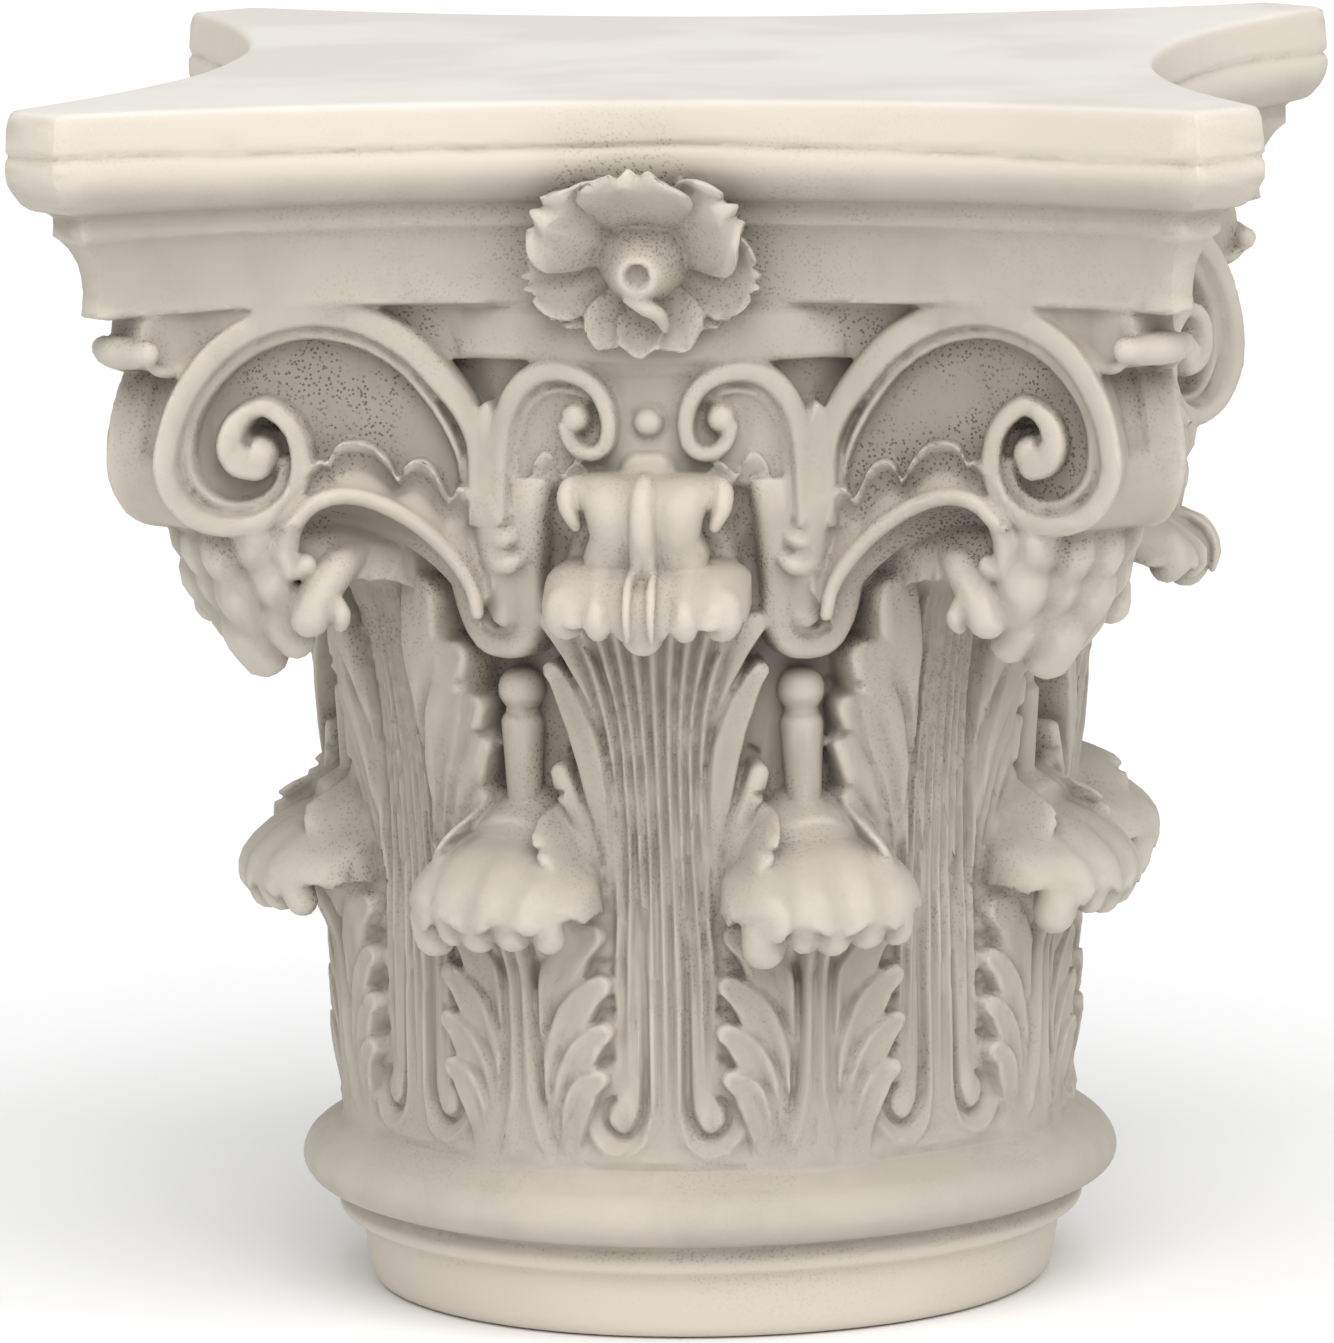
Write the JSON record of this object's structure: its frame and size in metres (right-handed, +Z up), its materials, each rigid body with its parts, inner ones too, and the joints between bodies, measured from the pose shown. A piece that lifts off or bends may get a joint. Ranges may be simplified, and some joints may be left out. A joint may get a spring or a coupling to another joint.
{
  "type": "corinthian capital",
  "caption": "Cast capital with two rows of acanthus leaves, corner scrolls and a hollow-sided slab with flowers, on a round moulded foot, used as a pedestal or low table.",
  "frame": {"origin": "centre of the round foot's underside, on the floor", "axes": "+Z up along the capital's axis, through the middle of the slab; the front side with its flower faces -Y"},
  "size_m": [0.47, 0.47, 0.48],
  "materials": {
    "cast_stone": "matt cast resin stone, warm cream, darker in the hollows"
  },
  "bodies": {
    "root": {"capital": "cast_stone"}
  },
  "joints": []
}
